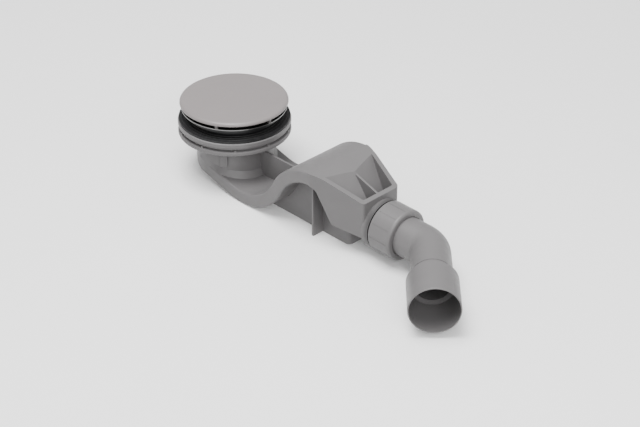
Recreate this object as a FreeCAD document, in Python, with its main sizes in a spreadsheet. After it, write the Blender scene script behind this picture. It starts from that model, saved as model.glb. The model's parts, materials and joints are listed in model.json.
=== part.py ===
"""Low shower trap for a 90 mm tray hole, with a flat S-shaped water seal and a turnable outlet bend.

Millimetres. The origin lies on the inlet axis at the top of the flange that carries the tray gasket.
+X points down the waste towards the outlet, +Z is up, and the part is symmetric about Y = 0 as far as
the coupling. The bend then turns to -Y.
"""
import FreeCAD
import Part
import Sketcher
import math
import os
from FreeCAD import Placement, Rotation, Vector

DRIVING = {
    # tray flange and neck of the body
    "flange_r": 59.0, "flange_thick": 4.4, "foot_disc_thick": 2.5, "flange_height": 14.3, "groove_r": 54.5,
    "lug_count": 10, "lug_width": 2.0, "lug_rise": 4.0, "lug_reach": 3.4, "lug_angle": 30.5,
    "neck_r": 40.5, "wall": 2.5, "edge_round": 1.0, "duct_round": 1.8,
    "boss_ring_r": 33.4, "boss_r": 5.2, "boss_depth": 21.0, "boss_top": 1.6, "insert_r": 3.1,
    # flat S-shaped duct
    "duct_height": 13.9, "inlet_slope": 14.8, "valley_x": 51.0, "valley_r": 61.5, "base_drop": 65.0,
    "crest_rise": 12.7, "crest_r": 53.5,
    # outlet box behind the crest
    "box_end_x": 211.5, "box_end_half": 24.5, "rim_fall_angle": 18.7, "side_end_drop": 42.0,
    "box_corner": 4.5,
    "step_x": 177.5, "step_drop": 37.5, "step_angle": 62.8, "step_round": 5.0, "arch_x": 160.0,
    "arch_round": 8.0, "rim_thick": 4.4, "roof_tip_x": 175.5, "roof_tip_rise": 8.9,
    "roof_fall_angle": 52.5, "roof_gable_angle": 15.5, "rib_thick": 2.2,
    # passage that narrows to the outlet
    "throat_x": 170.0, "throat_r": 7.5,
    # feet and stiffening ribs
    "foot_half": 16.5, "foot_end_x": 186.2, "foot_start_x": 66.0, "foot_corner": 5.0,
    "cross_rib_x": 148.0, "cross_rib_half": 31.0, "neck_rib_drop": 22.5,
    "fin_angle": 58.5, "fin_width": 8.0, "fin_proud": 1.8, "fin_length": 22.0,
    # outlet coupling
    "axis_drop": 33.9, "tube_r": 20.0, "tube_wall": 2.2, "running_gap": 0.05, "socket_gap": 0.35,
    "collar_proud": 2.2, "collar_length": 6.2, "stub_wall": 3.05, "stub_length": 29.0,
    "socket_depth": 20.0, "nut_wall": 2.5,
    "nut_gap": 7.7, "nut_lip": 3.0, "nut_clear": 0.4, "nut_round": 3.0, "lip_gap": 0.6,
    "grip_count": 12, "grip_deep": 0.25, "grip_line": 1.2,
    "seal_mouth": 2.6, "seal_nose": 0.4, "seal_proud": 1.3, "washer_thick": 1.6, "tube_end_gap": 1.0,
    # outlet bend
    "bend_x": 276.4, "bend_angle": 45.0, "bend_r": 26.0, "leg": 102.0, "spigot_r": 25.0,
    "spigot_length": 44.5, "shoulder": 6.5, "spigot_wall": 2.3, "bead_back": 3.2, "bead_proud": 0.35,
    # tray gasket, profile seal and clamp flange
    "gasket_r": 58.0, "gasket_hole_r": 43.0, "gasket_thick": 2.4, "bead_count": 3,
    "bead_height": 0.5, "bead_width": 1.4,
    "clamp_r": 55.0, "clamp_top": 14.5, "clamp_sheet": 1.0, "clamp_lip": 3.0, "clamp_floor": 4.0,
    "clamp_cone_r": 42.0, "clamp_hole_r": 25.5, "seal_inset": 1.0, "seal_foot_wide": 2.0,
    "seal_set_back": 1.0, "seal_step_count": 4, "seal_top_thick": 1.7,
    # fasteners
    "screw_count": 4, "screw_angle": 45.0, "screw_r": 2.4, "screw_head_r": 4.4, "screw_head": 2.4,
    "screw_length": 18.0,
    "insert_length": 12.0, "slot_width": 1.2, "slot_deep": 1.3, "fit_gap": 0.1,
    # lift-out hair strainer
    "strainer_r": 25.0, "strainer_rim_r": 28.0, "strainer_wall": 1.6, "strainer_depth": 26.0,
    "slit_count": 16, "slit_width": 2.6, "slit_margin": 3.5, "hub_r": 5.0, "hub_rise": 7.0,
    # cover
    "cover_r": 56.5, "cover_gap": 3.8, "cover_thick": 4.8, "cover_edge": 2.8, "cover_under": 1.3,
    "cover_wall": 2.2,
    "cover_foot_count": 6, "cover_foot_angle": -1.0, "cover_foot_r": 52.2, "cover_foot_wide": 3.0,
    "cover_pin_r": 3.2, "pin_engage": 4.0, "cover_crown": 0.6,
}

doc = FreeCAD.newDocument("ShowerTrap")
sheet = doc.addObject("Spreadsheet::Sheet", "Sizes")
for row, (alias, number) in enumerate(DRIVING.items(), start=1):
    sheet.set(f"A{row}", alias)
    sheet.set(f"B{row}", str(number))
    sheet.setAlias(f"B{row}", alias)
doc.recompute()


class Size(float):
    """A length or angle of the sheet that remembers its expression through arithmetic."""

    def __new__(cls, value, text):
        item = super().__new__(cls, value)
        item.text = text
        return item

    def _with(self, other, sign, value, swapped=False):
        pair = [self.text, getattr(other, "text", f"({float(other)})")]
        if swapped:
            pair.reverse()
        return Size(value, f"({pair[0]} {sign} {pair[1]})")

    def __add__(self, other):
        return self._with(other, "+", float(self) + float(other))

    def __radd__(self, other):
        return self._with(other, "+", float(other) + float(self), swapped=True)

    def __sub__(self, other):
        return self._with(other, "-", float(self) - float(other))

    def __rsub__(self, other):
        return self._with(other, "-", float(other) - float(self), swapped=True)

    def __mul__(self, other):
        return self._with(other, "*", float(self) * float(other))

    def __rmul__(self, other):
        return self._with(other, "*", float(other) * float(self), swapped=True)

    def __truediv__(self, other):
        return self._with(other, "/", float(self) / float(other))

    def __neg__(self):
        return Size(-float(self), f"(0 - {self.text})")


class Sizes:
    """Reads the sheet: s.wall is the cell with the alias wall."""

    def __getattr__(self, alias):
        return Size(getattr(sheet, alias), f"Sizes.{alias}")


s = Sizes()


def sine(angle):
    return Size(math.sin(math.radians(angle)), f"sin({angle.text})")


def cosine(angle):
    return Size(math.cos(math.radians(angle)), f"cos({angle.text})")


def tangent(angle):
    return Size(math.tan(math.radians(angle)), f"tan({angle.text})")


def root(number):
    return Size(math.sqrt(number), f"sqrt({number.text})")


def bind(thing, path, size):
    """Sets a property by its expression, so that it follows the sheet."""
    if isinstance(size, Size):
        thing.setExpression(path, size.text)


def new_body(label):
    body = doc.addObject("PartDesign::Body", label)
    body.Label = label
    body.AllowCompound = True
    return body


def new_sketch(body, name, plane, shift=(0, 0, 0), turn=None):
    """A sketch on one of the body's origin planes, shifted and turned in the sketch's own axes."""
    sketch = body.newObject("Sketcher::SketchObject", name)
    support = [item for item in body.Origin.OriginFeatures if item.Role == plane][0]
    sketch.AttachmentSupport = [(support, "")]
    sketch.MapMode = "FlatFace"
    axis, angle = turn if turn else (Vector(0, 0, 1), 0)
    sketch.AttachmentOffset = Placement(Vector(*[float(v) for v in shift]), Rotation(axis, float(angle)))
    for letter, value in zip("xyz", shift):
        bind(sketch, f"AttachmentOffset.Base.{letter}", value)
    bind(sketch, "AttachmentOffset.Rotation.Angle", angle)
    return sketch


def place_point(sketch, element, end, across, up):
    for kind, value in (("DistanceX", across), ("DistanceY", up)):
        index = sketch.addConstraint(Sketcher.Constraint(kind, element, end, float(value)))
        bind(sketch, f"Constraints[{index}]", value)


def add_circle(sketch, radius, across=0.0, up=0.0):
    centre = Vector(float(across), float(up), 0)
    ring = sketch.addGeometry(Part.Circle(centre, Vector(0, 0, 1), float(radius)))
    place_point(sketch, ring, 3, across, up)
    index = sketch.addConstraint(Sketcher.Constraint("Radius", ring, float(radius)))
    bind(sketch, f"Constraints[{index}]", radius)
    return ring


def add_outline(sketch, corners):
    """A closed outline of straight sides. A corner is (across, up) or (across, up, rounding radius)."""
    points = [Vector(float(c[0]), float(c[1]), 0) for c in corners]
    count = len(corners)
    starts, ends, rounds = [], [], []
    for i, corner in enumerate(corners):
        here = points[i]
        if len(corner) < 3:
            starts.append(here)
            ends.append(here)
            rounds.append(None)
            continue
        back = (points[i - 1] - here).normalize()
        ahead = (points[(i + 1) % count] - here).normalize()
        half = back.getAngle(ahead) / 2
        reach = float(corner[2]) / math.tan(half)
        centre = here + (back + ahead).normalize() * (float(corner[2]) / math.sin(half))
        ends.append(here + back * reach)
        starts.append(here + ahead * reach)
        rounds.append((centre, back.cross(ahead).z < 0))
    sides = []
    for i in range(count):
        sides.append(sketch.addGeometry(Part.LineSegment(starts[i], ends[(i + 1) % count])))
    for i, corner in enumerate(corners):
        before, after = sides[i - 1], sides[i]
        if rounds[i] is None:
            sketch.addConstraint(Sketcher.Constraint("Coincident", before, 2, after, 1))
            place_point(sketch, after, 1, corner[0], corner[1])
            continue
        centre, leftward = rounds[i]
        first, last = (ends[i], starts[i]) if leftward else (starts[i], ends[i])
        angles = [math.atan2(p.y - centre.y, p.x - centre.x) for p in (first, last)]
        if angles[1] < angles[0]:
            angles[1] += 2 * math.pi
        circle = Part.Circle(centre, Vector(0, 0, 1), float(corner[2]))
        arc = sketch.addGeometry(Part.ArcOfCircle(circle, angles[0], angles[1]))
        near, far = (1, 2) if leftward else (2, 1)
        mark = sketch.addGeometry(Part.Point(points[i]), True)
        sketch.addConstraint(Sketcher.Constraint("Tangent", before, 2, arc, near))
        sketch.addConstraint(Sketcher.Constraint("Tangent", arc, far, after, 1))
        sketch.addConstraint(Sketcher.Constraint("PointOnObject", mark, 1, before))
        sketch.addConstraint(Sketcher.Constraint("PointOnObject", mark, 1, after))
        place_point(sketch, mark, 1, corner[0], corner[1])
        index = sketch.addConstraint(Sketcher.Constraint("Radius", arc, float(corner[2])))
        bind(sketch, f"Constraints[{index}]", corner[2])


def outline(body, name, plane, corners, **where):
    sketch = new_sketch(body, name, plane, **where)
    add_outline(sketch, corners)
    return sketch


def rings(body, name, plane, radii, **where):
    sketch = new_sketch(body, name, plane, **where)
    for radius in radii:
        add_circle(sketch, radius)
    return sketch


def pad(body, name, sketch, length, both_ways=False, backwards=False):
    feature = body.newObject("PartDesign::Pad", name)
    feature.Profile = sketch
    feature.Length = float(length)
    bind(feature, "Length", length)
    feature.SideType = "Symmetric" if both_ways else "One side"
    feature.Reversed = backwards
    doc.recompute()
    return feature


def pocket(body, name, sketch, length=None, both_ways=False, backwards=False, along=None):
    feature = body.newObject("PartDesign::Pocket", name)
    feature.Profile = sketch
    feature.SideType = "Symmetric" if both_ways else "One side"
    if length is None:
        feature.Type = "ThroughAll"
    else:
        feature.Length = float(length)
        bind(feature, "Length", length)
    feature.Reversed = backwards
    if along is not None:
        feature.UseCustomVector = True
        feature.AlongSketchNormal = False
        feature.Direction = Vector(*[float(v) for v in along])
        for letter, value in zip("xyz", along):
            bind(feature, f"Direction.{letter}", value)
    doc.recompute()
    return feature


def turned(body, name, corners, axis="V_Axis", plane="XZ_Plane", cut=False, **where):
    """Revolves an outline about its sketch's own axis: (radius, height) about V, (along, radius) about H."""
    sketch = outline(body, name + "_outline", plane, corners, **where)
    feature = body.newObject("PartDesign::Groove" if cut else "PartDesign::Revolution", name)
    feature.Profile = sketch
    feature.ReferenceAxis = (sketch, [axis])
    feature.Angle = 360.0
    doc.recompute()
    return feature


def polar(body, name, originals, count, axis="Z_Axis"):
    feature = body.newObject("PartDesign::PolarPattern", name)
    feature.Originals = originals
    spindle = [item for item in body.Origin.OriginFeatures if item.Role == axis][0]
    feature.Axis = (spindle, [""])
    feature.Angle = 360.0
    feature.Occurrences = int(count)
    bind(feature, "Occurrences", count)
    body.Tip = feature
    doc.recompute()
    return feature


def combine(body, name, kind, tools):
    feature = body.newObject("PartDesign::Boolean", name)
    feature.Type = kind
    feature.setObjects(tools)
    body.Tip = feature
    doc.recompute()
    return feature


# Places that several pieces share
valley_z = s.valley_r + s.duct_height / 2 - s.base_drop
crest_z = s.crest_rise - s.duct_height / 2 - s.crest_r
bend_reach = s.valley_r + s.crest_r
crest_x = s.valley_x + root(bend_reach * bend_reach - (valley_z - crest_z) * (valley_z - crest_z))
crest_top_r = s.crest_r + s.duct_height / 2
rim_corner_x = crest_x + crest_top_r * tangent(s.rim_fall_angle / 2)
rim_end_z = s.crest_rise - (s.box_end_x - rim_corner_x) * tangent(s.rim_fall_angle)
line_end_x = s.valley_x - s.valley_r * sine(s.inlet_slope)
line_end_z = valley_z - s.valley_r * cosine(s.inlet_slope)
spine_start_x = -(s.neck_r + s.wall)
spine_start_z = line_end_z + (line_end_x - spine_start_x) * tangent(s.inlet_slope)
axis_z = -s.axis_drop
stub_end_x = s.box_end_x + s.stub_length
nut_start_x = s.box_end_x + s.nut_gap
seal_end_x = stub_end_x + s.seal_proud
washer_end_x = seal_end_x + s.washer_thick
lip_x = washer_end_x + s.fit_gap
nut_end_x = lip_x + s.nut_lip
socket_r = s.tube_r + s.socket_gap
stub_r = socket_r + s.stub_wall
collar_r = stub_r + s.collar_proud
bore_r = s.tube_r - s.tube_wall
socket_x = stub_end_x - s.socket_depth


def spine(body, name):
    """Centre line of the flat duct: straight fall, valley bend, crest bend up to its summit."""
    sketch = new_sketch(body, name, "XZ_Plane")
    start = Vector(float(spine_start_x), float(spine_start_z), 0)
    low = Vector(float(line_end_x), float(line_end_z), 0)
    valley = Vector(float(s.valley_x), float(valley_z), 0)
    crest = Vector(float(crest_x), float(crest_z), 0)
    meet = valley + (crest - valley).normalize() * float(s.valley_r)
    line = sketch.addGeometry(Part.LineSegment(start, low))
    up = Vector(0, 0, 1)
    low_angle = math.atan2(low.y - valley.y, low.x - valley.x)
    meet_angle = math.atan2(meet.y - valley.y, meet.x - valley.x)
    dip_circle = Part.Circle(valley, up, float(s.valley_r))
    dip = sketch.addGeometry(Part.ArcOfCircle(dip_circle, low_angle, meet_angle))
    hump_circle = Part.Circle(crest, up, float(s.crest_r))
    rise_angle = math.atan2(meet.y - crest.y, meet.x - crest.x)
    hump = sketch.addGeometry(Part.ArcOfCircle(hump_circle, math.pi / 2, rise_angle))
    sketch.addConstraint(Sketcher.Constraint("Tangent", line, 2, dip, 1))
    sketch.addConstraint(Sketcher.Constraint("Tangent", dip, 2, hump, 2))
    place_point(sketch, dip, 3, s.valley_x, valley_z)
    for arc, radius in ((dip, s.valley_r), (hump, s.crest_r)):
        index = sketch.addConstraint(Sketcher.Constraint("Radius", arc, float(radius)))
        bind(sketch, f"Constraints[{index}]", radius)
    index = sketch.addConstraint(Sketcher.Constraint("DistanceY", hump, 3, float(crest_z)))
    bind(sketch, f"Constraints[{index}]", crest_z)
    sketch.addConstraint(Sketcher.Constraint("Vertical", hump, 1, hump, 3))
    place_point(sketch, line, 1, spine_start_x, spine_start_z)
    return sketch


def water_way(body, inset):
    """The neck, S-shaped duct and outlet box, drawn in from their outer faces by inset."""
    neck_r = s.neck_r - inset
    half = s.neck_r - inset
    high = s.duct_height - 2 * inset
    neck = rings(body, "neck_ring", "XY_Plane", [neck_r])
    pad(body, "neck_column", neck, s.base_drop, backwards=True)
    below = outline(body, "below_fall", "XZ_Plane", [
        (spine_start_x, spine_start_z), (s.neck_r + s.wall, line_end_z),
        (s.neck_r + s.wall, -2 * s.base_drop), (spine_start_x, -2 * s.base_drop)])
    pocket(body, "fall_cut", below, both_ways=True)
    section = outline(
        body, "duct_section", "YZ_Plane",
        [(-half, -high / 2, s.duct_round), (half, -high / 2, s.duct_round),
         (half, high / 2, s.duct_round), (-half, high / 2, s.duct_round)],
        shift=(0, spine_start_z, spine_start_x), turn=(Vector(1, 0, 0), s.inlet_slope))
    route = spine(body, "duct_centre_line")
    duct = body.newObject("PartDesign::AdditivePipe", "flat_duct")
    duct.Profile = section
    duct.Spine = (route, ["Edge1", "Edge2", "Edge3"])
    duct.Transition = "Transformed"
    doc.recompute()
    end = new_sketch(body, "round_end", "XY_Plane")
    left = -(s.neck_r + s.duct_height)
    corner = [Vector(0, float(neck_r), 0), Vector(0, float(-left), 0), Vector(float(left), float(-left), 0),
              Vector(float(left), float(left), 0), Vector(0, float(left), 0), Vector(0, float(-neck_r), 0)]
    sides = [end.addGeometry(Part.LineSegment(a, b)) for a, b in zip(corner, corner[1:])]
    ring = Part.Circle(Vector(0, 0, 0), Vector(0, 0, 1), float(neck_r))
    bow = end.addGeometry(Part.ArcOfCircle(ring, math.pi / 2, 3 * math.pi / 2))
    for a, b in zip(sides, sides[1:]):
        end.addConstraint(Sketcher.Constraint("Coincident", a, 2, b, 1))
    end.addConstraint(Sketcher.Constraint("Coincident", bow, 1, sides[0], 1))
    end.addConstraint(Sketcher.Constraint("Coincident", bow, 2, sides[-1], 2))
    place_point(end, sides[0], 1, 0.0, neck_r)
    place_point(end, sides[1], 1, 0.0, -left)
    place_point(end, sides[2], 1, left, -left)
    place_point(end, sides[3], 1, left, left)
    place_point(end, sides[4], 1, 0.0, left)
    place_point(end, sides[4], 2, 0.0, -neck_r)
    end.addConstraint(Sketcher.Constraint("PointOnObject", bow, 3, -2))
    pocket(body, "round_end_cut", end, both_ways=True)

    mitre = inset * tangent(s.step_angle / 2)
    arch_z = -s.step_drop + (s.step_x - s.arch_x) * tangent(s.step_angle)
    top_r = crest_top_r - inset
    end_x = s.box_end_x - inset
    corner_x = crest_x + top_r * tangent(s.rim_fall_angle / 2)
    top_end_z = s.crest_rise - inset - (end_x - corner_x) * tangent(s.rim_fall_angle)
    box = outline(body, "box_side", "XZ_Plane", [
        (crest_x - s.wall, s.crest_rise - inset), (corner_x, s.crest_rise - inset, top_r), (end_x, top_end_z),
        (end_x, -s.side_end_drop + inset),
        (s.step_x + mitre, -s.step_drop + inset, s.step_round - inset),
        (s.arch_x + mitre, arch_z + inset, s.arch_round + inset),
        (crest_x, s.crest_rise - s.duct_height + inset)])
    pad(body, "box_block", box, 2 * half, both_ways=True)
    for side, name in ((1, "back"), (-1, "front")):
        wedge = outline(body, f"{name}_taper", "XY_Plane", [
            (crest_x, side * half), (end_x, side * (s.box_end_half - inset), s.box_corner - inset),
            (end_x, 0.0), (end_x + 2 * s.wall, 0.0), (end_x + 2 * s.wall, side * 2 * half),
            (crest_x, side * 2 * half)])
        pocket(body, f"{name}_taper_cut", wedge, both_ways=True)


def outlet_cone(body, inset):
    """Round cone on the outlet's axis that leads the box into the stub."""
    exit_r = bore_r if float(inset) > 0 else stub_r
    start_x = s.throat_x + inset
    turned(body, "outlet_cone", [
        (start_x, 0.0), (s.box_end_x, 0.0), (s.box_end_x, exit_r), (start_x, s.throat_r - inset)],
        axis="H_Axis", shift=(0, axis_z, 0))


def roof_section(body, name, drop, above):
    """Section across the two sloping roof faces, which meet in a ridge at Y = 0: what lies above or below."""
    ridge_z = s.roof_tip_rise + (s.roof_tip_x - crest_x) * tangent(s.roof_fall_angle) - drop
    eaves_z = ridge_z - s.neck_r * tangent(s.roof_gable_angle)
    end_z = ridge_z + s.base_drop if above else ridge_z - 3 * s.base_drop
    return outline(body, name, "YZ_Plane", [
        (0.0, ridge_z), (s.neck_r, eaves_z), (s.neck_r, end_z), (-s.neck_r, end_z), (-s.neck_r, eaves_z)],
        shift=(0, 0, crest_x))


roof_direction = (cosine(s.roof_fall_angle), 0.0, -sine(s.roof_fall_angle))

# Body of the trap, one moulding. Its hollow is drawn first
hollow = new_body("hollow")
water_way(hollow, s.wall)
roof_wall = s.wall / (cosine(s.roof_fall_angle) * cosine(s.roof_gable_angle))
pocket(hollow, "inner_roof", roof_section(hollow, "inner_roof_section", roof_wall, True),
       length=s.box_end_x, along=roof_direction)
outlet_cone(hollow, s.wall)

# Open recess in the top of the outlet box, over the sloping roof faces
recess = new_body("recess")
recess_end_x = s.box_end_x - s.rim_thick
recess_plan = outline(recess, "recess_plan", "XY_Plane", [
    (crest_x, s.rim_thick - s.neck_r), (recess_end_x, s.rim_thick - s.box_end_half, s.step_round / 2),
    (recess_end_x, s.box_end_half - s.rim_thick, s.step_round / 2), (crest_x, s.neck_r - s.rim_thick)])
pad(recess, "recess_column", recess_plan, 2 * s.base_drop, both_ways=True)
pocket(recess, "roof_faces", roof_section(recess, "roof_section", 0.0, False),
       length=s.box_end_x, along=roof_direction)


def spine_z(x):
    """Height of the duct's centre line in the valley."""
    return valley_z - root(s.valley_r * s.valley_r - (x - s.valley_x) * (x - s.valley_x))


# Skirt of two long webs and an end web, which carries the trap beside the bottom of the valley
skirt = new_body("foot_skirt")
outer_half = s.foot_half + s.rib_thick / 2
inner_half = s.foot_half - s.rib_thick / 2
inner_end_x = s.foot_end_x - s.rib_thick
inner_corner = s.foot_corner - s.rib_thick
skirt_plan = outline(skirt, "skirt_plan", "XY_Plane", [
    (s.foot_start_x, -outer_half), (s.foot_end_x, -outer_half, s.foot_corner),
    (s.foot_end_x, outer_half, s.foot_corner), (s.foot_start_x, outer_half), (s.foot_start_x, inner_half),
    (inner_end_x, inner_half, inner_corner), (inner_end_x, -inner_half, inner_corner),
    (s.foot_start_x, -inner_half)], shift=(0, 0, -s.base_drop))
pad(skirt, "skirt_webs", skirt_plan, s.base_drop + s.crest_rise)
cross_from = s.cross_rib_x - s.rib_thick / 2
cross_to = s.cross_rib_x + s.rib_thick / 2
cross_plan = outline(skirt, "cross_rib_plan", "XY_Plane", [
    (cross_from, -s.cross_rib_half), (cross_to, -s.cross_rib_half), (cross_to, s.cross_rib_half),
    (cross_from, s.cross_rib_half)], shift=(0, 0, -s.base_drop))
pad(skirt, "cross_rib", cross_plan, s.base_drop + s.crest_rise)
flank_share = 0.84
flank_x = s.valley_x + s.valley_r * flank_share
before_start_x = s.foot_start_x - s.wall
past_end_x = s.foot_end_x + s.wall
crest_mid_z = s.crest_rise - s.duct_height / 2
mid_x = (before_start_x + flank_x) / 2
box_floor_z = s.step_round - s.step_drop
over = outline(skirt, "over_the_skirt", "XZ_Plane", [
    (before_start_x, spine_z(before_start_x)), (mid_x, spine_z(mid_x)), (flank_x, spine_z(flank_x)),
    (crest_x - s.crest_r / 2, crest_mid_z - s.duct_height / 2), (crest_x, crest_mid_z),
    (s.arch_x, crest_mid_z - s.duct_height / 2), (s.step_x + s.step_round, box_floor_z),
    (past_end_x, box_floor_z), (past_end_x, s.base_drop), (before_start_x, s.base_drop)])
pocket(skirt, "skirt_top", over, both_ways=True)

trap = new_body("trap_body")
at_the_surface = s.wall - s.wall
water_way(trap, at_the_surface)
combine(trap, "open_recess", "Cut", [recess])
outlet_cone(trap, at_the_surface)
combine(trap, "with_skirt", "Fuse", [skirt])
upper_z = -s.flange_thick
lower_z = s.foot_disc_thick - s.flange_height
turned(trap, "double_flange", [
    (0.0, 0.0), (s.flange_r, 0.0, s.edge_round), (s.flange_r, upper_z), (s.groove_r, upper_z),
    (s.groove_r, lower_z), (s.flange_r, lower_z), (s.flange_r, -s.flange_height, s.edge_round),
    (0.0, -s.flange_height)])
lug_plan = outline(trap, "lug_plan", "XY_Plane", [
    (s.groove_r - s.wall, -s.lug_width / 2), (s.groove_r + s.lug_reach, -s.lug_width / 2),
    (s.groove_r + s.lug_reach, s.lug_width / 2), (s.groove_r - s.wall, s.lug_width / 2)],
    shift=(0, 0, lower_z), turn=(Vector(0, 0, 1), s.lug_angle))
lug = pad(trap, "lug", lug_plan, s.lug_rise)
polar(trap, "lugs", [lug], s.lug_count)
rib_height = valley_z + s.neck_rib_drop
rib_end_x = s.valley_x + root(s.valley_r * s.valley_r - rib_height * rib_height)
rib_start_x = s.neck_r - s.wall / 2
rib_shares = (0.8, 0.5, 0.25)
rib_points = [rib_start_x + (rib_end_x - rib_start_x) * share for share in rib_shares]
neck_rib = outline(trap, "neck_rib_side", "XZ_Plane", [
    (rib_start_x, -s.neck_rib_drop), (rib_end_x, -s.neck_rib_drop),
    *[(x, spine_z(x)) for x in rib_points], (rib_start_x, spine_z(rib_start_x))])
pad(trap, "neck_rib", neck_rib, s.rib_thick, both_ways=True)
for side, name in ((1, "back"), (-1, "front")):
    fin_turn = side * s.fin_angle
    fin_plan = outline(trap, f"{name}_neck_fin_plan", "XY_Plane", [
        (s.neck_r - s.wall / 2, -s.fin_width / 2), (s.neck_r + s.fin_proud, -s.fin_width / 2),
        (s.neck_r + s.fin_proud, s.fin_width / 2), (s.neck_r - s.wall / 2, s.fin_width / 2)],
        shift=(0, 0, -s.flange_height), turn=(Vector(0, 0, 1), fin_turn))
    pad(trap, f"{name}_neck_fin", fin_plan, s.fin_length, backwards=True)
stub = rings(trap, "stub_ring", "YZ_Plane", [stub_r], shift=(0, axis_z, s.box_end_x))
pad(trap, "stub", stub, s.stub_length)
collar = rings(trap, "collar_ring", "YZ_Plane", [collar_r], shift=(0, axis_z, s.box_end_x - s.wall))
pad(trap, "collar", collar, s.wall + s.collar_length)
combine(trap, "hollowed", "Cut", [hollow])
turned(trap, "socket", [
    (s.box_end_x - s.wall, 0.0), (stub_end_x, 0.0), (stub_end_x, socket_r + s.seal_mouth),
    (stub_end_x - s.seal_mouth, socket_r), (socket_x, socket_r), (socket_x, bore_r),
    (s.box_end_x - s.wall, bore_r)], axis="H_Axis", cut=True, shift=(0, axis_z, 0))
cone_rise = (stub_r - s.throat_r) / (s.box_end_x - s.throat_x)
roof_fall = tangent(s.roof_fall_angle)
cone_top_z = axis_z + s.throat_r
roof_over_cone = s.roof_tip_rise + s.roof_tip_x * roof_fall - cone_top_z + s.throat_x * cone_rise
seat_x = roof_over_cone / (roof_fall + cone_rise)
roof_rib = outline(trap, "roof_rib_side", "XZ_Plane", [
    (s.roof_tip_x - s.wall, s.roof_tip_rise - s.edge_round), (recess_end_x + s.edge_round, rim_end_z),
    (recess_end_x + s.edge_round, axis_z + stub_r - s.wall),
    (seat_x, cone_top_z + (seat_x - s.throat_x) * cone_rise - s.edge_round),
    (s.roof_tip_x - s.wall, s.roof_tip_rise - s.wall)])
pad(trap, "roof_rib", roof_rib, s.rib_thick, both_ways=True)
boss_plan = new_sketch(trap, "boss_plan", "XY_Plane", shift=(0, 0, s.boss_top),
                       turn=(Vector(0, 0, 1), s.screw_angle))
add_circle(boss_plan, s.boss_r, s.boss_ring_r)
boss = pad(trap, "screw_boss", boss_plan, s.boss_top + s.boss_depth, backwards=True)
insert_plan = new_sketch(trap, "insert_plan", "XY_Plane", shift=(0, 0, s.boss_top),
                         turn=(Vector(0, 0, 1), s.screw_angle))
add_circle(insert_plan, s.insert_r, s.boss_ring_r)
insert_hole = pocket(trap, "insert_hole", insert_plan, length=s.screw_length)
polar(trap, "screw_bosses", [boss, insert_hole], s.screw_count)


def on_outlet_axis(body):
    """A body drawn about its own X axis is placed on the outlet's axis."""
    body.Placement = Placement(Vector(0, 0, float(axis_z)), Rotation())
    bind(body, "Placement.Base.z", axis_z)
    return body


# Flat gasket under the tray, with raised sealing beads spaced evenly across it
gasket = new_body("lower_gasket")
bead_pitch = (s.gasket_r - s.gasket_hole_r) / (s.bead_count + 1)
bead_top = s.gasket_thick + s.bead_height
bead_corners = []
for number in range(int(s.bead_count)):
    middle = s.gasket_r - bead_pitch * (number + 1)
    bead_corners += [
        (middle + s.bead_width / 2, s.gasket_thick), (middle + s.bead_width / 4, bead_top),
        (middle - s.bead_width / 4, bead_top), (middle - s.bead_width / 2, s.gasket_thick)]
turned(gasket, "gasket_ring", [
    (s.gasket_hole_r, 0.0), (s.gasket_r, 0.0), (s.gasket_r, s.gasket_thick), *bead_corners,
    (s.gasket_hole_r, s.gasket_thick)])

# Pressed steel flange that clamps the tray from above
clamp = new_body("clamp_flange")
dish_top = s.clamp_floor + s.clamp_sheet
lip_under = s.clamp_top - s.clamp_sheet
lip_inner_r = s.clamp_r - s.clamp_lip
sheet_mitre = s.clamp_sheet / 2
turned(clamp, "dished_sheet", [
    (s.clamp_hole_r, s.clamp_floor), (s.clamp_cone_r, s.clamp_floor), (lip_inner_r, lip_under),
    (s.clamp_r, lip_under), (s.clamp_r, s.clamp_top), (lip_inner_r - sheet_mitre, s.clamp_top),
    (s.clamp_cone_r - sheet_mitre, dish_top), (s.clamp_hole_r, dish_top)])
clamp_hole = new_sketch(clamp, "screw_hole_ring", "XY_Plane", shift=(0, 0, dish_top),
                        turn=(Vector(0, 0, 1), s.screw_angle))
add_circle(clamp_hole, s.screw_r + s.fit_gap, s.boss_ring_r)
hole = pocket(clamp, "screw_hole", clamp_hole, length=2 * s.clamp_sheet)
polar(clamp, "screw_holes", [hole], s.screw_count)

# Stepped profile seal between the clamp flange and the tray, which follows the flange's cone
seal = new_body("upper_seal")
profile_inner_r = s.clamp_cone_r + s.seal_inset
profile_foot_r = profile_inner_r + s.seal_foot_wide
profile_outer_r = s.clamp_r - s.seal_set_back
step_wide = (profile_outer_r - profile_foot_r) / s.seal_step_count
step_high = (lip_under - s.seal_top_thick - s.gasket_thick) / s.seal_step_count
stair = []
for number in range(int(s.seal_step_count)):
    stair += [
        (profile_foot_r + step_wide * number, s.gasket_thick + step_high * number),
        (profile_foot_r + step_wide * number, s.gasket_thick + step_high * (number + 1))]
cone_slope = (lip_under - s.clamp_floor) / (lip_inner_r - s.clamp_cone_r)
seat_z = s.clamp_floor + s.seal_inset * cone_slope
turned(seal, "profile_ring", [
    (profile_inner_r, s.gasket_thick), *stair, (profile_outer_r, lip_under - s.seal_top_thick),
    (profile_outer_r, lip_under), (lip_inner_r + s.fit_gap, lip_under),
    (profile_inner_r, seat_z - s.fit_gap * cone_slope)])

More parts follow.
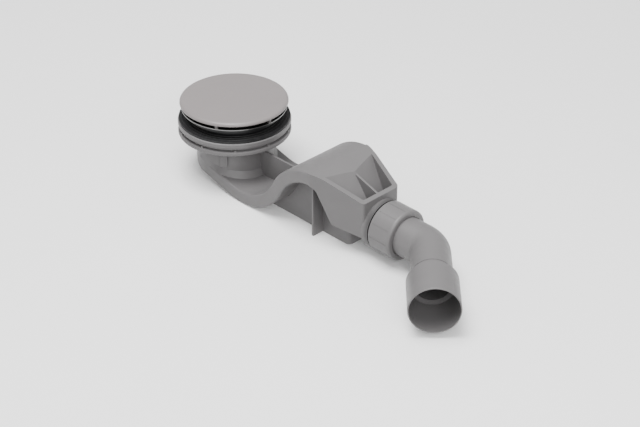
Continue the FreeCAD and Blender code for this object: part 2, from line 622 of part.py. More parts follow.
# Four pan head screws in one group
screws = new_body("clamp_screws")
head_top = dish_top + s.screw_head
screw_where = {"shift": (0, 0, dish_top), "turn": (Vector(0, 0, 1), s.screw_angle)}
head_plan = new_sketch(screws, "head_ring", "XY_Plane", **screw_where)
add_circle(head_plan, s.screw_head_r, s.boss_ring_r)
head = pad(screws, "screw_head", head_plan, s.screw_head)
shank_plan = new_sketch(screws, "shank_ring", "XY_Plane", **screw_where)
add_circle(shank_plan, s.screw_r, s.boss_ring_r)
shank = pad(screws, "screw_shank", shank_plan, s.screw_length, backwards=True)
slot_plan = outline(screws, "slot_plan", "XY_Plane", [
    (s.boss_ring_r - s.screw_head_r, -s.slot_width / 2), (s.boss_ring_r + s.screw_head_r, -s.slot_width / 2),
    (s.boss_ring_r + s.screw_head_r, s.slot_width / 2), (s.boss_ring_r - s.screw_head_r, s.slot_width / 2)],
    shift=(0, 0, head_top), turn=(Vector(0, 0, 1), s.screw_angle))
slot = pocket(screws, "screw_slot", slot_plan, length=s.slot_deep)
polar(screws, "screws", [head, shank, slot], s.screw_count)

# Four threaded brass inserts in the bosses of the neck, one group
inserts = new_body("screw_inserts")
bush_plan = new_sketch(inserts, "bush_ring", "XY_Plane", shift=(0, 0, s.boss_top),
                       turn=(Vector(0, 0, 1), s.screw_angle))
add_circle(bush_plan, s.insert_r - s.fit_gap / 2, s.boss_ring_r)
add_circle(bush_plan, s.screw_r + s.fit_gap / 2, s.boss_ring_r)
bush = pad(inserts, "bush", bush_plan, s.insert_length, backwards=True)
polar(inserts, "bushes", [bush], s.screw_count)

# Lift-out strainer cup with slits, a perforated floor and a hub for the cover's pin
strainer = new_body("hair_strainer")
cup_floor_z = dish_top - s.strainer_depth
hub_top = dish_top + s.hub_rise
hub_hole_r = s.cover_pin_r + s.fit_gap
turned(strainer, "cup", [
    (0.0, cup_floor_z), (s.strainer_r, cup_floor_z, s.strainer_wall), (s.strainer_r, dish_top),
    (s.strainer_rim_r, dish_top), (s.strainer_rim_r, dish_top + s.strainer_wall),
    (s.strainer_r - s.strainer_wall, dish_top + s.strainer_wall),
    (s.strainer_r - s.strainer_wall, cup_floor_z + s.strainer_wall), (s.hub_r, cup_floor_z + s.strainer_wall),
    (s.hub_r, hub_top), (hub_hole_r, hub_top), (hub_hole_r, hub_top - 2 * s.hub_rise),
    (0.0, hub_top - 2 * s.hub_rise)])
slit_low = cup_floor_z + s.strainer_wall + s.slit_margin
slit_high = dish_top - s.slit_margin
slit_side = outline(strainer, "slit_side", "YZ_Plane", [
    (-s.slit_width / 2, slit_low), (s.slit_width / 2, slit_low), (s.slit_width / 2, slit_high),
    (-s.slit_width / 2, slit_high)], shift=(0, 0, s.strainer_r - 2 * s.strainer_wall))
slit = pocket(strainer, "slit", slit_side, length=3 * s.strainer_wall, backwards=True)
floor_plan = outline(strainer, "floor_slit_plan", "XY_Plane", [
    (s.hub_r + s.slit_margin, -s.slit_width / 2),
    (s.strainer_r - s.strainer_wall - s.slit_margin, -s.slit_width / 2),
    (s.strainer_r - s.strainer_wall - s.slit_margin, s.slit_width / 2),
    (s.hub_r + s.slit_margin, s.slit_width / 2)], shift=(0, 0, cup_floor_z + 2 * s.strainer_wall))
floor_slit = pocket(strainer, "floor_slit", floor_plan, length=3 * s.strainer_wall)
polar(strainer, "slits", [slit, floor_slit], s.slit_count)

# Cover, a hollow cap on six feet with a pin for the strainer's hub
cover = new_body("cover_lid")
cover_low = s.clamp_top + s.cover_gap
cover_high = cover_low + s.cover_thick
cover_rim_top = cover_high - s.cover_crown
pin_low = hub_top - s.pin_engage
cap_inner_r = s.cover_r - s.cover_wall
turned(cover, "cap", [
    (0.0, cover_high), (s.cover_r, cover_rim_top, s.cover_edge), (s.cover_r, cover_low, s.cover_under),
    (cap_inner_r, cover_low), (cap_inner_r, cover_rim_top - s.cover_wall),
    (s.cover_pin_r, cover_high - s.cover_wall), (s.cover_pin_r, pin_low), (0.0, pin_low)])
foot_plan = outline(cover, "foot_plan", "XY_Plane", [
    (s.cover_foot_r, -s.cover_foot_wide / 2), (cap_inner_r + s.cover_wall / 2, -s.cover_foot_wide / 2),
    (cap_inner_r + s.cover_wall / 2, s.cover_foot_wide / 2), (s.cover_foot_r, s.cover_foot_wide / 2)],
    shift=(0, 0, s.clamp_top), turn=(Vector(0, 0, 1), s.cover_foot_angle))
foot = pad(cover, "foot", foot_plan, s.cover_gap + s.cover_wall)
polar(cover, "feet", [foot], s.cover_foot_count)

# Union nut of the outlet coupling
nut = on_outlet_axis(new_body("coupling_nut"))
nut_bore_r = stub_r + s.nut_clear
nut_r = nut_bore_r + s.nut_wall
lip_r = s.tube_r + s.lip_gap
turned(nut, "nut_ring", [
    (nut_start_x, nut_bore_r), (nut_start_x, nut_r, s.edge_round), (nut_end_x, nut_r, s.nut_round),
    (nut_end_x, lip_r), (lip_x, lip_r), (lip_x, nut_bore_r)], axis="H_Axis")
line_plan = outline(nut, "grip_line_section", "YZ_Plane", [
    (-s.grip_line / 2, nut_r - s.grip_deep), (s.grip_line / 2, nut_r - s.grip_deep),
    (s.grip_line / 2, nut_r + s.grip_deep), (-s.grip_line / 2, nut_r + s.grip_deep)],
    shift=(0, 0, nut_start_x + s.nut_round))
grip_length = nut_end_x - nut_start_x - 2 * s.nut_round
grip_line = pocket(nut, "grip_line", line_plan, length=grip_length, backwards=True)
polar(nut, "grip_lines", [grip_line], s.grip_count, axis="X_Axis")

# Wedge seal in the mouth of the stub, and the slip washer between it and the nut's lip
cone_seal = on_outlet_axis(new_body("cone_seal"))
seal_bore_r = s.tube_r + s.running_gap
seal_start_x = stub_end_x - s.seal_mouth + s.seal_nose
seal_rim_r = socket_r + s.seal_mouth - s.fit_gap
turned(cone_seal, "wedge_ring", [
    (seal_start_x, seal_bore_r), (seal_start_x, socket_r + s.seal_nose - s.fit_gap), (stub_end_x, seal_rim_r),
    (seal_end_x, seal_rim_r), (seal_end_x, seal_bore_r)], axis="H_Axis")
washer = on_outlet_axis(new_body("slip_washer"))
turned(washer, "washer_ring", [
    (seal_end_x, s.tube_r + s.socket_gap), (seal_end_x, seal_rim_r), (washer_end_x, seal_rim_r),
    (washer_end_x, s.tube_r + s.socket_gap)], axis="H_Axis")

# Outlet bend: a tube that turns through the bend angle and widens to the spigot
elbow = on_outlet_axis(new_body("outlet_bend"))
tube_start_x = socket_x + s.tube_end_gap
tangent_length = s.bend_r * tangent(s.bend_angle / 2)
tube_inner_r = s.tube_r - s.tube_wall
spigot_start = s.leg - s.spigot_length
shoulder_start = spigot_start - s.shoulder
tube_ring = rings(elbow, "tube_ring", "YZ_Plane", [s.tube_r, tube_inner_r], shift=(0, 0, tube_start_x))
route = new_sketch(elbow, "tube_centre_line", "XY_Plane")
turn_end_x = s.bend_x + tangent_length * cosine(s.bend_angle)
turn_end_y = -tangent_length * sine(s.bend_angle)
leg_x = s.bend_x + (shoulder_start + s.edge_round) * cosine(s.bend_angle)
leg_y = -(shoulder_start + s.edge_round) * sine(s.bend_angle)
first = route.addGeometry(Part.LineSegment(Vector(float(tube_start_x), 0, 0),
                                           Vector(float(s.bend_x - tangent_length), 0, 0)))
turn_centre = Vector(float(s.bend_x - tangent_length), -float(s.bend_r), 0)
circle = Part.Circle(turn_centre, Vector(0, 0, 1), float(s.bend_r))
bow = route.addGeometry(Part.ArcOfCircle(circle, math.pi / 2 - math.radians(s.bend_angle), math.pi / 2))
second = route.addGeometry(Part.LineSegment(Vector(float(turn_end_x), float(turn_end_y), 0),
                                            Vector(float(leg_x), float(leg_y), 0)))
route.addConstraint(Sketcher.Constraint("Tangent", first, 2, bow, 2))
route.addConstraint(Sketcher.Constraint("Tangent", bow, 1, second, 1))
place_point(route, first, 1, tube_start_x, 0.0)
index = route.addConstraint(Sketcher.Constraint("Radius", bow, float(s.bend_r)))
bind(route, f"Constraints[{index}]", s.bend_r)
place_point(route, first, 2, s.bend_x - tangent_length, 0.0)
place_point(route, second, 2, leg_x, leg_y)
tube = elbow.newObject("PartDesign::AdditivePipe", "bent_tube")
tube.Profile = tube_ring
tube.Spine = (route, ["Edge1", "Edge2", "Edge3"])
doc.recompute()
on_leg = {"shift": (s.bend_x, 0.0, 0.0), "turn": (Vector(0, 0, 1), -s.bend_angle), "plane": "XY_Plane"}
turned(elbow, "spigot", [
    (shoulder_start, tube_inner_r), (shoulder_start, s.tube_r), (spigot_start, s.spigot_r),
    (s.leg, s.spigot_r, s.edge_round), (s.leg, s.spigot_r - s.spigot_wall),
    (spigot_start + s.spigot_wall, s.spigot_r - s.spigot_wall), (spigot_start + s.spigot_wall, tube_inner_r)],
    axis="H_Axis", **on_leg)
turned(elbow, "seam_bead", [
    (shoulder_start - s.bead_back - s.edge_round, tube_inner_r), (shoulder_start - s.bead_back, tube_inner_r),
    (shoulder_start - s.bead_back, s.tube_r + s.bead_proud),
    (shoulder_start - s.bead_back - s.edge_round, s.tube_r + s.bead_proud)], axis="H_Axis", **on_leg)

NODES = [trap, gasket, seal, clamp, screws, inserts, strainer, cover, nut, cone_seal, washer, elbow]

doc.recompute()
for item in doc.Objects:
    if "Invalid" in item.State or "Error" in item.State:
        raise RuntimeError(f"{item.Label} did not compute: {item.State}")
for node in NODES:
    if node.Shape.isNull() or not node.Shape.isValid():
        raise RuntimeError(f"{node.Label} has no valid shape")

os.makedirs("parts", exist_ok=True)
for node in NODES:
    node.Shape.exportStep(f"parts/{node.Label}.step")
    print(node.Label, len(node.Shape.Solids), "solids", round(node.Shape.Volume / 1000, 2), "cm3")
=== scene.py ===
import json
import math

import bpy
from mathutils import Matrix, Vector


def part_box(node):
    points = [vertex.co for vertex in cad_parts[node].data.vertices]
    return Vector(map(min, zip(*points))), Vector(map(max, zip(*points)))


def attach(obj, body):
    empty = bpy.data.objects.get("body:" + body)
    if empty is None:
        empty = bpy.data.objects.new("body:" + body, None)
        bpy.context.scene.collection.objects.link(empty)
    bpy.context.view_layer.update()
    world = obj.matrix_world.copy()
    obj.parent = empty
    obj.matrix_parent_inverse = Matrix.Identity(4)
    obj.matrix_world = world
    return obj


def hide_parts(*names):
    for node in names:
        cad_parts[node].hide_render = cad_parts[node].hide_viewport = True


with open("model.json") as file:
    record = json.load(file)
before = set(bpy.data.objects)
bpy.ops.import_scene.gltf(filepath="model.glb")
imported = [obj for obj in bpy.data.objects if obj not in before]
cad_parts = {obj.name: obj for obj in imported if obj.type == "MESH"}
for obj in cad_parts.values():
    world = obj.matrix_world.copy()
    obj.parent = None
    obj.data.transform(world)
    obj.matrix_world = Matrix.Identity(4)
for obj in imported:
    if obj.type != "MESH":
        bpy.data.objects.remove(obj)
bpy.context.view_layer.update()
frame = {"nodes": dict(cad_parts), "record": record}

nodes = frame["nodes"]
bpy.ops.object.select_all(action="DESELECT")


# Body of the trap: one moulding in mid grey polypropylene, from the tray flange to the threaded
# stub. It comes from the mould with a fine satin grain and a faintly cloudy colour.
def new_finish(name):
    """A new material, its nodes, its shader and the piece's own coordinates."""
    material = bpy.data.materials.new(name)
    material.use_nodes = True
    tree = material.node_tree
    shader = tree.nodes["Principled BSDF"]
    place = tree.nodes.new("ShaderNodeTexCoord")
    return material, tree, shader, place.outputs["Object"]


def cloud(tree, place, scale, detail=2.0, stretch=(1, 1, 1)):
    """Noise over the piece's own coordinates. The scale is in spots per metre."""
    squeeze = tree.nodes.new("ShaderNodeMapping")
    squeeze.inputs["Scale"].default_value = stretch
    noise = tree.nodes.new("ShaderNodeTexNoise")
    noise.inputs["Scale"].default_value = scale
    noise.inputs["Detail"].default_value = detail
    tree.links.new(place, squeeze.inputs["Vector"])
    tree.links.new(squeeze.outputs["Vector"], noise.inputs["Vector"])
    return noise.outputs["Fac"]


noise_low = 0.3
noise_high = 0.7


def spread(tree, factor, low, high, socket):
    """Maps a noise onto a range of a number, from its common values rather than 0 to 1."""
    ramp = tree.nodes.new("ShaderNodeMapRange")
    ramp.inputs["From Min"].default_value = noise_low
    ramp.inputs["From Max"].default_value = noise_high
    ramp.inputs["To Min"].default_value = low
    ramp.inputs["To Max"].default_value = high
    tree.links.new(factor, ramp.inputs["Value"])
    tree.links.new(ramp.outputs["Result"], socket)


def shades(tree, factor, dark, light, socket):
    """Maps a noise onto two shades of a colour."""
    ramp = tree.nodes.new("ShaderNodeValToRGB")
    ramp.color_ramp.elements[0].position = noise_low
    ramp.color_ramp.elements[0].color = (*dark, 1)
    ramp.color_ramp.elements[1].position = noise_high
    ramp.color_ramp.elements[1].color = (*light, 1)
    tree.links.new(factor, ramp.inputs["Fac"])
    tree.links.new(ramp.outputs["Color"], socket)


def grain(tree, height, depth, shader):
    """Raises a noise from the surface. The depth is in metres."""
    bump = tree.nodes.new("ShaderNodeBump")
    bump.inputs["Strength"].default_value = 1.0
    bump.inputs["Distance"].default_value = depth
    tree.links.new(height, bump.inputs["Height"])
    tree.links.new(bump.outputs["Normal"], shader.inputs["Normal"])


def moulded_plastic(name, colour, cloudiness, gloss, grain_scale, grain_depth):
    """Satin plastic: faintly cloudy colour, gloss that varies a little, and the mould's fine grain."""
    material, tree, shader, place = new_finish(name)
    dark = [c * (1 - cloudiness) for c in colour]
    light = [c * (1 + cloudiness) for c in colour]
    mottle = cloud(tree, place, scale=38.0, detail=5.0)
    shades(tree, mottle, dark, light, shader.inputs["Base Color"])
    sheen = cloud(tree, place, scale=160.0, detail=4.0)
    spread(tree, sheen, *gloss, shader.inputs["Roughness"])
    grain(tree, cloud(tree, place, scale=grain_scale, detail=3.0), grain_depth, shader)
    shader.inputs["Specular IOR Level"].default_value = 0.4
    return material


def dress(node, material):
    """Gives a piece of the frame its material."""
    nodes[node].data.materials.clear()
    nodes[node].data.materials.append(material)


def paint_shade_along(material, axis, start, end, left):
    """Painted shade: the colour fades to a share of itself between two places on an axis."""
    tree = material.node_tree
    shader = tree.nodes["Principled BSDF"]
    plain = shader.inputs["Base Color"].links[0].from_socket
    apart = tree.nodes.new("ShaderNodeSeparateXYZ")
    tree.links.new(tree.nodes["Texture Coordinate"].outputs["Object"], apart.inputs["Vector"])
    fade = tree.nodes.new("ShaderNodeMapRange")
    fade.interpolation_type = "SMOOTHSTEP"
    fade.inputs["From Min"].default_value = start
    fade.inputs["From Max"].default_value = end
    fade.inputs["To Min"].default_value = 1.0
    fade.inputs["To Max"].default_value = left
    tree.links.new(apart.outputs[axis], fade.inputs["Value"])
    painted_shade = tree.nodes.new("ShaderNodeVectorMath")
    painted_shade.operation = "SCALE"
    tree.links.new(plain, painted_shade.inputs[0])
    tree.links.new(fade.outputs["Result"], painted_shade.inputs["Scale"])
    tree.links.new(painted_shade.outputs["Vector"], shader.inputs["Base Color"])


body_grey = (0.127, 0.1225, 0.1235)
body_plastic = moulded_plastic("body_plastic", body_grey, cloudiness=0.025, gloss=(0.42, 0.52),
                               grain_scale=2600.0, grain_depth=0.00002)
dress("trap_body", body_plastic)
# Painted shade: the end of the box and the collar grow darker towards the nut.
paint_shade_along(body_plastic, "X", start=0.2100, end=0.2172, left=0.42)


# Rims of the double flange: a thin ledge under the upper plate and a raised edge on the lower one,
# part of the same moulding. They narrow the groove between the plates to a slot with the lugs in it.
merge_gap = 0.000005
sharp_angle = math.radians(35)


def outlined(name, section):
    """A closed section as a ring of edges. The section lists its corners in metres."""
    bpy.ops.object.select_all(action="DESELECT")
    bpy.ops.mesh.primitive_circle_add(vertices=len(section), fill_type="NOTHING")
    outline = bpy.context.object
    outline.name = name
    for corner, place in zip(outline.data.vertices, section):
        corner.co = place
    return outline


def spun_ring(name, section, centre, axis, steps):
    """A closed section turned once round an axis."""
    ring = outlined(name, section)
    bpy.ops.object.mode_set(mode="EDIT")
    bpy.ops.mesh.select_all(action="SELECT")
    bpy.ops.mesh.spin(steps=steps, angle=2 * math.pi, center=centre, axis=axis)
    bpy.ops.mesh.select_all(action="SELECT")
    bpy.ops.mesh.remove_doubles(threshold=merge_gap)
    bpy.ops.mesh.normals_make_consistent(inside=False)
    bpy.ops.object.mode_set(mode="OBJECT")
    bpy.ops.object.shade_smooth_by_angle(angle=sharp_angle)
    return ring


def belongs(piece, body, material):
    """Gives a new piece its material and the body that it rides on."""
    piece.data.materials.clear()
    piece.data.materials.append(material)
    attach(piece, body)


ledge_section = [(0.0546, 0, -0.0049), (0.0571, 0, -0.0049), (0.0575, 0, -0.0053),
                 (0.0575, 0, -0.0068), (0.0572, 0, -0.0071), (0.0546, 0, -0.0071)]
edge_section = [(0.0546, 0, -0.0097), (0.0576, 0, -0.0097), (0.0584, 0, -0.0101),
                (0.0587, 0, -0.0108), (0.0587, 0, -0.0119), (0.0546, 0, -0.0119)]
for name, section in (("flange_ledge", ledge_section), ("flange_raised_edge", edge_section)):
    ring = spun_ring(name, section, centre=(0, 0, 0), axis=(0, 0, 1), steps=160)
    belongs(ring, "trap", body_plastic)


# Flare at the foot of the neck: the chamfer where the neck stands on the sloping top of the duct,
# part of the same moulding. It runs out towards both sides, where neck and duct share one wall.
duct_start_z = -0.0395
duct_fall = 0.26421
valley_start_x = 0.0371
valley_x = 0.051
valley_z = 0.00345
valley_top_r = 0.05455


def duct_top(x):
    """Height of the duct's top face, first the straight fall and then the valley's bend."""
    if x < valley_start_x:
        return duct_start_z - duct_fall * x
    return valley_z - math.sqrt(valley_top_r ** 2 - (x - valley_x) ** 2)


neck_r = 0.0404
hair = 0.0001
flare_wide = 0.0042
flare_high = 0.0060
flare_turn = math.radians(216)
fading_share = 0.25
bpy.ops.object.select_all(action="DESELECT")
bpy.ops.mesh.primitive_grid_add(x_subdivisions=120, y_subdivisions=12, size=1)
flare = bpy.context.object
flare.name = "neck_flare"
for point in flare.data.vertices:
    # The grid's length goes round the neck, and its depth falls outwards. Both its ends fade away.
    turn = flare_turn * point.co.x
    fall = point.co.y + 0.5
    share = min(1.0, (1.0 - abs(2 * point.co.x)) / fading_share) ** 0.5
    # Up to the duct's side, which is level with the neck's. Straight ahead it is far away.
    to_side = neck_r / max(0.01, abs(math.sin(turn))) - neck_r
    out = neck_r + min(flare_wide, to_side) * share * fall + hair
    x = out * math.cos(turn)
    y = out * math.sin(turn)
    point.co = (x, y, duct_top(x) + flare_high * share * (1 - fall) - hair)
bpy.ops.object.mode_set(mode="EDIT")
bpy.ops.mesh.select_all(action="SELECT")
bpy.ops.mesh.flip_normals()
bpy.ops.object.mode_set(mode="OBJECT")
depth = flare.modifiers.new("depth into the body", "SOLIDIFY")
depth.thickness = 0.0006
depth.offset = -1
bpy.ops.object.modifier_apply(modifier="depth into the body")
bpy.ops.object.shade_smooth_by_angle(angle=sharp_angle)
belongs(flare, "trap", body_plastic)


# Thread of the stub: a coarse ridge of the same moulding that winds under the nut and holds it. Its
# first turn shows in the narrow gap between the collar and the nut.
outlet_z = frame["record"]["behaviour"]["joints"][0]["pos_m"][2]
thread_pitch = 0.003
thread_turns = 7
steps_a_turn = 72
thread_section = [(0.2180, 0, 0.0231), (0.2184, 0, 0.0237), (0.2189, 0, 0.0237), (0.2193, 0, 0.0231)]
thread = outlined("stub_thread", thread_section)
winding = thread.modifiers.new("winding", "SCREW")
winding.axis = "X"
winding.angle = 2 * math.pi
winding.screw_offset = thread_pitch
winding.iterations = thread_turns
winding.steps = steps_a_turn
winding.render_steps = steps_a_turn
bpy.ops.object.modifier_apply(modifier="winding")
bpy.ops.object.mode_set(mode="EDIT")
bpy.ops.mesh.select_all(action="SELECT")
bpy.ops.mesh.fill_holes(sides=0)
bpy.ops.mesh.normals_make_consistent(inside=False)
bpy.ops.object.mode_set(mode="OBJECT")
thread.location = (0, 0, outlet_z)
bpy.ops.object.transform_apply(location=True, rotation=True, scale=True)
bpy.ops.object.shade_smooth_by_angle(angle=sharp_angle)
belongs(thread, "trap", body_plastic)


# Union nut: the same plastic in a smaller mould, with long grip lines and a rounded front shoulder.
# It is screwed on the stub. Its face is a little smoother, so it takes a softer, wider light.
nut_grey = (0.129, 0.1245, 0.1255)
nut_plastic = moulded_plastic("nut_plastic", nut_grey, cloudiness=0.02, gloss=(0.36, 0.46),
                              grain_scale=3000.0, grain_depth=0.000015)
dress("coupling_nut", nut_plastic)


# Outlet bend: a plain smooth moulding in the body's grey, its two ends true tubes and its mouth cut
# square. Its thinner end is held in the stub by the nut and the wedge seal.
bend_plastic = moulded_plastic("bend_plastic", body_grey, cloudiness=0.02, gloss=(0.38, 0.48),
                               grain_scale=3000.0, grain_depth=0.000015)
dress("outlet_bend", bend_plastic)


# Drawn spigot: the bend again, its mouth opened to a thin lip as the mould's core leaves it, so that
# the wall tapers from the shoulder to the end.
def redrawn(node, name, flat_angle):
    """A copy of a piece for new edges, its corners joined and its flat triangles made into quads."""
    bpy.ops.object.select_all(action="DESELECT")
    twin = nodes[node].copy()
    twin.data = nodes[node].data.copy()
    twin.name = name
    bpy.context.collection.objects.link(twin)
    twin.select_set(True)
    bpy.context.view_layer.objects.active = twin
    bpy.ops.object.mode_set(mode="EDIT")
    bpy.ops.mesh.select_all(action="SELECT")
    bpy.ops.mesh.remove_doubles(threshold=merge_gap)
    bpy.ops.mesh.customdata_custom_splitnormals_clear()
    bpy.ops.mesh.tris_convert_to_quads(face_threshold=flat_angle, shape_threshold=math.radians(60))
    bpy.ops.mesh.select_all(action="DESELECT")
    bpy.ops.object.mode_set(mode="OBJECT")
    return twin


bend_corner = Vector((0.2764, 0, outlet_z))
bend_angle = math.radians(45)
leg = 0.102
within_wall_r = 0.0232
mouth_opening = 1.048
drawn_bend = redrawn("outlet_bend", "drawn_outlet_bend", flat_angle=math.radians(8))
leg_way = Vector((math.cos(bend_angle), -math.sin(bend_angle), 0))
mouth = bend_corner + leg_way * leg
for corner in drawn_bend.data.vertices:
    off = corner.co - mouth
    along = off.dot(leg_way)
    corner.select = abs(along) < hair and (off - leg_way * along).length < within_wall_r
bpy.ops.object.mode_set(mode="EDIT")
bpy.ops.transform.resize(value=(mouth_opening, mouth_opening, mouth_opening), center_override=mouth)
bpy.ops.object.mode_set(mode="OBJECT")
bpy.ops.object.shade_smooth_by_angle(angle=sharp_angle)
belongs(drawn_bend, "outlet", bend_plastic)
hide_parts("outlet_bend")


# Seam of the bend: a hair-thin raised line round the tube, part of its moulding. It marks where the
# core's straight part ended.
seam_foot_z = outlet_z + 0.01985
seam_top_z = outlet_z + 0.02012
seam_section = [(0.2650, 0, seam_foot_z), (0.26535, 0, seam_top_z), (0.26585, 0, seam_top_z),
                (0.2662, 0, seam_foot_z)]
seam = spun_ring("bend_seam", seam_section, centre=(0, 0, outlet_z), axis=(1, 0, 0), steps=96)
belongs(seam, "outlet", bend_plastic)


# Cover: a smooth light cap, moulded with a finer surface than the parts below it. It stands loose on
# its feet over the steel flange, and its underside and feet carry painted shade.
cover_grey = (0.201, 0.184, 0.183)
cover_plastic = moulded_plastic("cover_plastic", cover_grey, cloudiness=0.012, gloss=(0.30, 0.38),
                                grain_scale=4200.0, grain_depth=0.000008)
# Painted shade: below the rim's foot, the cap's underside and its feet grow darker.
paint_shade_along(cover_plastic, "Z", start=0.0182, end=0.0174, left=0.30)
dress("cover_lid", cover_plastic)


# Rounded cover: the same cap with the wide soft roll that its rim has on top, and a small one below.
# Both grow inwards from the cap's own faces, and its top stays flat.
rim_r = 0.0565
rim_top_z = 0.0225
rim_foot_z = 0.0183
crown_slope = 0.0006 / rim_r
top_round = 0.0028
foot_round = 0.0013
on_round = 0.00003
# Each roll: the radius it has on the cap, its new width and height, the face it meets, and the way in.
rolls = [(top_round, 0.0044, 0.0032, rim_top_z + top_round * crown_slope, -1),
         (foot_round, 0.0010, 0.0010, rim_foot_z, 1)]
rolled_cover = redrawn("cover_lid", "rolled_cover", flat_angle=math.radians(2))
for corner in rolled_cover.data.vertices:
    out = math.hypot(corner.co.x, corner.co.y)
    for small, wide, high, face_z, way in rolls:
        away_r = out - (rim_r - small)
        away_z = corner.co.z - (face_z + way * small)
        if away_r > -hair and abs(math.hypot(away_r, away_z) - small) < on_round:
            new_out = rim_r - wide + away_r * wide / small
            corner.co = (corner.co.x * new_out / out, corner.co.y * new_out / out,
                         face_z + way * high + away_z * high / small)
            break
bpy.ops.object.shade_smooth_by_angle(angle=sharp_angle)
flat_top = rolled_cover.modifiers.new("flat top stays flat", "WEIGHTED_NORMAL")
flat_top.keep_sharp = True
bpy.ops.object.modifier_apply(modifier="flat top stays flat")
belongs(rolled_cover, "trap", cover_plastic)
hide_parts("cover_lid")


# Strainer: a dark grey moulding that stays wet, plain and coarse. It hangs by its rim in the dish of
# the steel flange, and lifts out for cleaning.
strainer_grey = (0.075, 0.075, 0.077)
strainer_plastic = moulded_plastic("strainer_plastic", strainer_grey, cloudiness=0.05, gloss=(0.45, 0.6),
                                   grain_scale=2200.0, grain_depth=0.00003)
dress("hair_strainer", strainer_plastic)


# Slip washer: a pale smooth ring of acetal, held between the nut's lip and the wedge seal. It lets
# the nut turn without dragging the seal.
washer_white = (0.62, 0.62, 0.60)
washer_plastic = moulded_plastic("washer_plastic", washer_white, cloudiness=0.02, gloss=(0.28, 0.36),
                                 grain_scale=3000.0, grain_depth=0.000008)
dress("slip_washer", washer_plastic)


# Seals: black rubber rings that the pieces round them clamp. The flat gasket is matt with a faint
# grey bloom. The stepped profile seal and the wedge seal in the stub are darker and smoother.
def black_rubber(name, colour, bloom, gloss):
    """Fine-pored rubber. The bloom is what it adds to the colour in its palest spots."""
    material, tree, shader, place = new_finish(name)
    light = [c + bloom for c in colour]
    haze = cloud(tree, place, scale=240.0, detail=6.0)
    shades(tree, haze, colour, light, shader.inputs["Base Color"])
    sheen = cloud(tree, place, scale=700.0, detail=3.0)
    spread(tree, sheen, *gloss, shader.inputs["Roughness"])
    pore_depth = 0.00004
    grain(tree, cloud(tree, place, scale=3400.0, detail=4.0), pore_depth, shader)
    shader.inputs["Specular IOR Level"].default_value = 0.25
    return material


gasket_black = (0.010, 0.010, 0.0105)
gasket_rubber = black_rubber("gasket_rubber", gasket_black, bloom=0.007, gloss=(0.50, 0.62))
dress("lower_gasket", gasket_rubber)
seal_black = (0.007, 0.007, 0.0075)
seal_rubber = black_rubber("seal_rubber", seal_black, bloom=0.004, gloss=(0.34, 0.44))
for seal in ("upper_seal", "cone_seal"):
    dress(seal, seal_rubber)


# Metal pieces: the clamp flange is pressed from stainless sheet, its screws are turned stainless and
# the inserts turned brass. Each keeps the fine lines of the way it was made.
def metal(name, colour, gloss, lines, line_depth):
    """Bare metal with fine lines. Where lines is over 1, the noise is squeezed along that axis."""
    material, tree, shader, place = new_finish(name)
    tarnished = 0.93
    dark = [c * tarnished for c in colour]
    stains = cloud(tree, place, scale=120.0, detail=4.0)
    shades(tree, stains, dark, colour, shader.inputs["Base Color"])
    sheen = cloud(tree, place, scale=500.0, detail=3.0, stretch=lines)
    spread(tree, sheen, *gloss, shader.inputs["Roughness"])
    scratches = cloud(tree, place, scale=900.0, detail=2.0, stretch=lines)
    grain(tree, scratches, line_depth, shader)
    shader.inputs["Metallic"].default_value = 1.0
    return material


sheet_grey = (0.18, 0.18, 0.178)
steel = metal("steel", sheet_grey, gloss=(0.30, 0.38), lines=(1, 1, 8), line_depth=0.000003)
# Painted shade: the top of its rim is darkened, so that only the edge stays light.
paint_shade_along(steel, "Z", start=0.01430, end=0.01446, left=0.40)
dress("clamp_flange", steel)

turned_grey = (0.60, 0.60, 0.59)
screw_steel = metal("screw_steel", turned_grey, gloss=(0.22, 0.32), lines=(1, 1, 12), line_depth=0.00001)
dress("clamp_screws", screw_steel)

brass_yellow = (0.62, 0.45, 0.20)
brass = metal("brass", brass_yellow, gloss=(0.25, 0.35), lines=(1, 1, 12), line_depth=0.00001)
dress("screw_inserts", brass)


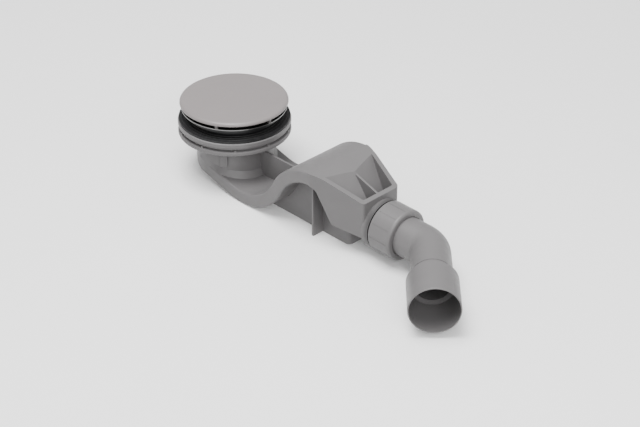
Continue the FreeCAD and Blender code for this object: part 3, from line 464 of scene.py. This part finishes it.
# Studio: a plain pale floor, one soft lamp high above and to the left, a weaker one on the right, and
# the camera where the photograph was taken from. The floor throws no light back, so that the sides
# stay darker than the tops as they do in the photograph, and the low air stands in for it.
floor_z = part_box("trap_body")[0].z
bpy.ops.mesh.primitive_plane_add(size=12, location=(0, 0, floor_z))
floor = bpy.context.object
floor.name = "studio_floor"
bpy.ops.object.transform_apply(location=True, rotation=True, scale=True)
floor_white = (0.93, 0.93, 0.93)
floor_bright = (0.95, 0.95, 0.95)
pale, pale_tree, pale_shader, pale_place = new_finish("pale_floor")
patches = cloud(pale_tree, pale_place, scale=3.0)
shades(pale_tree, patches, floor_white, floor_bright, pale_shader.inputs["Base Color"])
pale_shader.inputs["Roughness"].default_value = 0.9
floor.data.materials.append(pale)
floor.visible_diffuse = False

world = bpy.data.worlds.new("studio_air")
bpy.context.scene.world = world
world.use_nodes = True
sky = world.node_tree
air_way = sky.nodes.new("ShaderNodeTexCoord")
air_apart = sky.nodes.new("ShaderNodeSeparateXYZ")
sky.links.new(air_way.outputs["Generated"], air_apart.inputs["Vector"])
low_air = sky.nodes.new("ShaderNodeMapRange")
low_air.inputs["From Min"].default_value = -0.25
low_air.inputs["From Max"].default_value = 0.25
low_air.inputs["To Min"].default_value = 1.3
low_air.inputs["To Max"].default_value = 1.0
sky.links.new(air_apart.outputs["Z"], low_air.inputs["Value"])
sky.links.new(low_air.outputs["Result"], sky.nodes["Background"].inputs["Color"])
sky.nodes["Background"].inputs["Strength"].default_value = 0.76

look_at = Vector((0.126, 0.0009, -0.0628))


def soft_light(name, place, size, power):
    """A square lamp that faces the middle of the trap. The size is in metres, the power in watts."""
    bpy.ops.object.light_add(type="AREA", location=place)
    lamp = bpy.context.object
    lamp.name = name
    lamp.data.shape = "SQUARE"
    lamp.data.size = size
    lamp.data.energy = power
    lamp.rotation_euler = (look_at - Vector(place)).to_track_quat("-Z", "Y").to_euler()


soft_light("key_light", (0.12, -0.42, 1.95), size=1.2, power=72)
soft_light("fill_light", (1.4, -0.75, 0.9), size=1.0, power=20)

eye = Vector((1.16804, -1.01847, 0.85828))
bpy.ops.object.camera_add(location=eye, rotation=(look_at - eye).to_track_quat("-Z", "Y").to_euler())
camera = bpy.context.object
camera.data.sensor_width = 36.0
camera.data.lens = 95.625
bpy.context.scene.camera = camera
